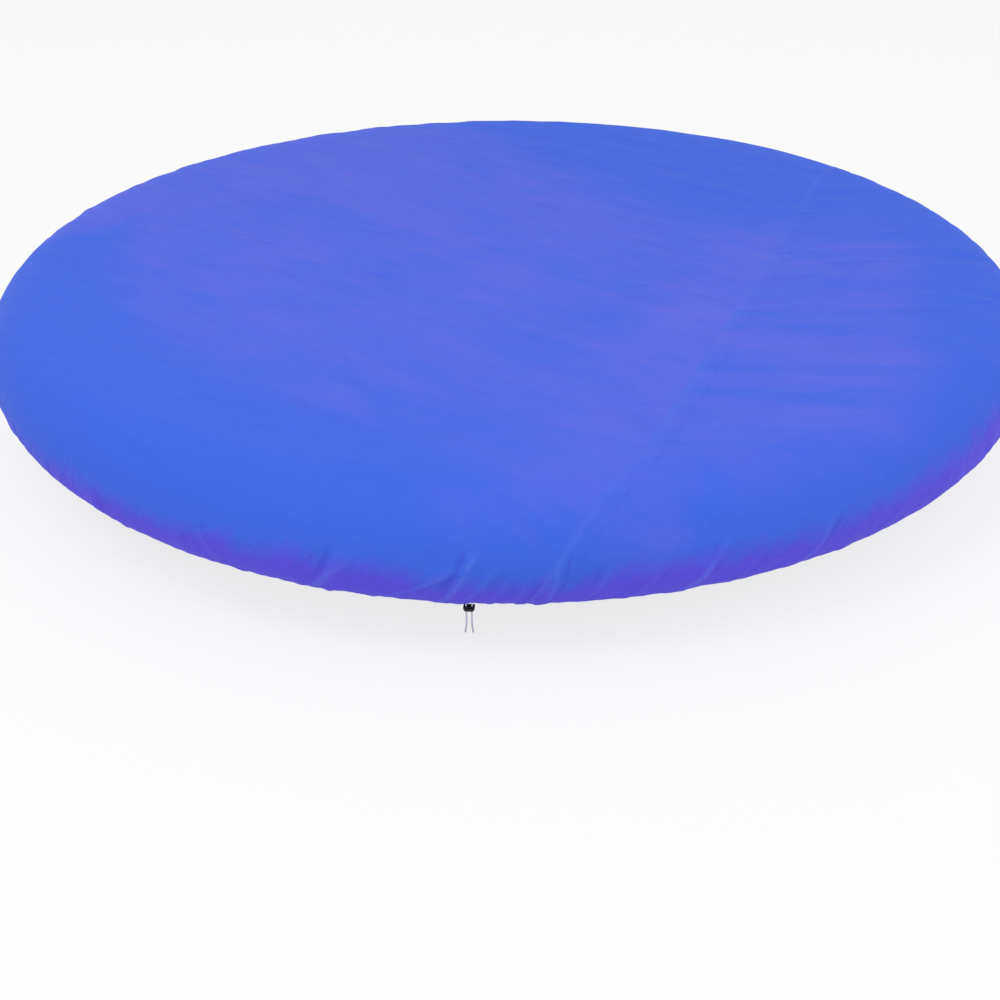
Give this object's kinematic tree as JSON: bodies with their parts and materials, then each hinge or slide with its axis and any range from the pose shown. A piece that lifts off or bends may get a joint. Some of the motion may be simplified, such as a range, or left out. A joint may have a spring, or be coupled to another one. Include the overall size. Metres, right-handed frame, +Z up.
{
  "type": "pool cover",
  "caption": "Round drawstring cover of woven polyethylene, fitted over a pool's inflated top ring, with a lapped seam, a rope hem, two eyelets and a sprung cord lock.",
  "frame": {"origin": "where the pool's axis meets the underside of the top sheet, level with the top of the pool's ring", "axes": "+Z up along the pool's axis, -Y towards the side where the drawstring comes out, +X to the right seen from there"},
  "size_m": [2.8428, 2.843, 0.3807],
  "materials": {
    "cover_cloth": "woven polyethylene cloth, slight sheen",
    "rope_white": "braided rope",
    "lock_plastic": "moulded, satin",
    "eyelet_metal": "stamped, satin",
    "spring_steel": "drawn wire"
  },
  "bodies": {
    "cover": {"panel_main": "cover_cloth", "panel_side": "cover_cloth", "hem_casing": "cover_cloth", "eyelet_left": "eyelet_metal", "eyelet_right": "eyelet_metal", "drawstring": "rope_white", "drawstring_tail_left": "rope_white", "drawstring_tail_right": "rope_white"},
    "cord_lock": {"cord_lock_body": "lock_plastic", "cord_lock_spring": "spring_steel"},
    "plunger": {"cord_lock_plunger": "lock_plastic"}
  },
  "joints": [
    {"name": "lock_slide", "type": "slide", "parent": "cover", "child": "cord_lock", "axis": [0, 0, -1], "range_m": [0, 0.04]},
    {"name": "plunger_press", "type": "slide", "parent": "cord_lock", "child": "plunger", "axis": [0.0637, 0.998, 0], "range_m": [0, 0.003], "stiffness_N_per_m": 1200, "springref_m": -0.004, "deforming": ["cord_lock_spring"]}
  ]
}
